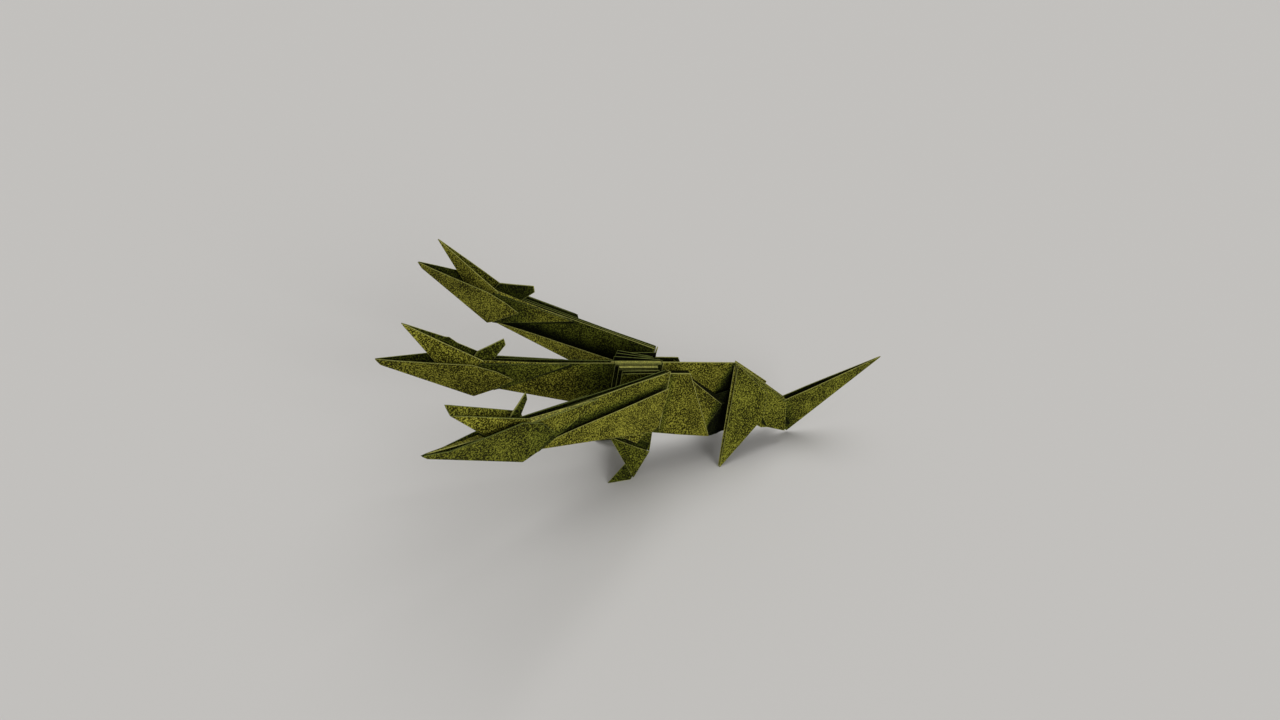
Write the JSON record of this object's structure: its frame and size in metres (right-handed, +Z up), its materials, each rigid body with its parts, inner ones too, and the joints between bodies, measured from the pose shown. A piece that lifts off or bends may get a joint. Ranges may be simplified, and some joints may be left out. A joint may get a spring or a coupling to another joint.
{
  "type": "origami hydra",
  "caption": "Standing origami hydra folded from a square of dark green paper, with open-jawed heads on long necks, a pleated body, small feet and a raised tail.",
  "frame": {"origin": "middle of the figure's box at floor level, under the body", "axes": "+X from the tail to the heads, +Y to the animal's left, +Z up"},
  "size_m": [0.1266, 0.0802, 0.0509],
  "materials": {
    "paper": "dark olive green uncoated paper with fine mottling"
  },
  "bodies": {
    "root": {"folded_sheet": "paper"}
  },
  "joints": []
}
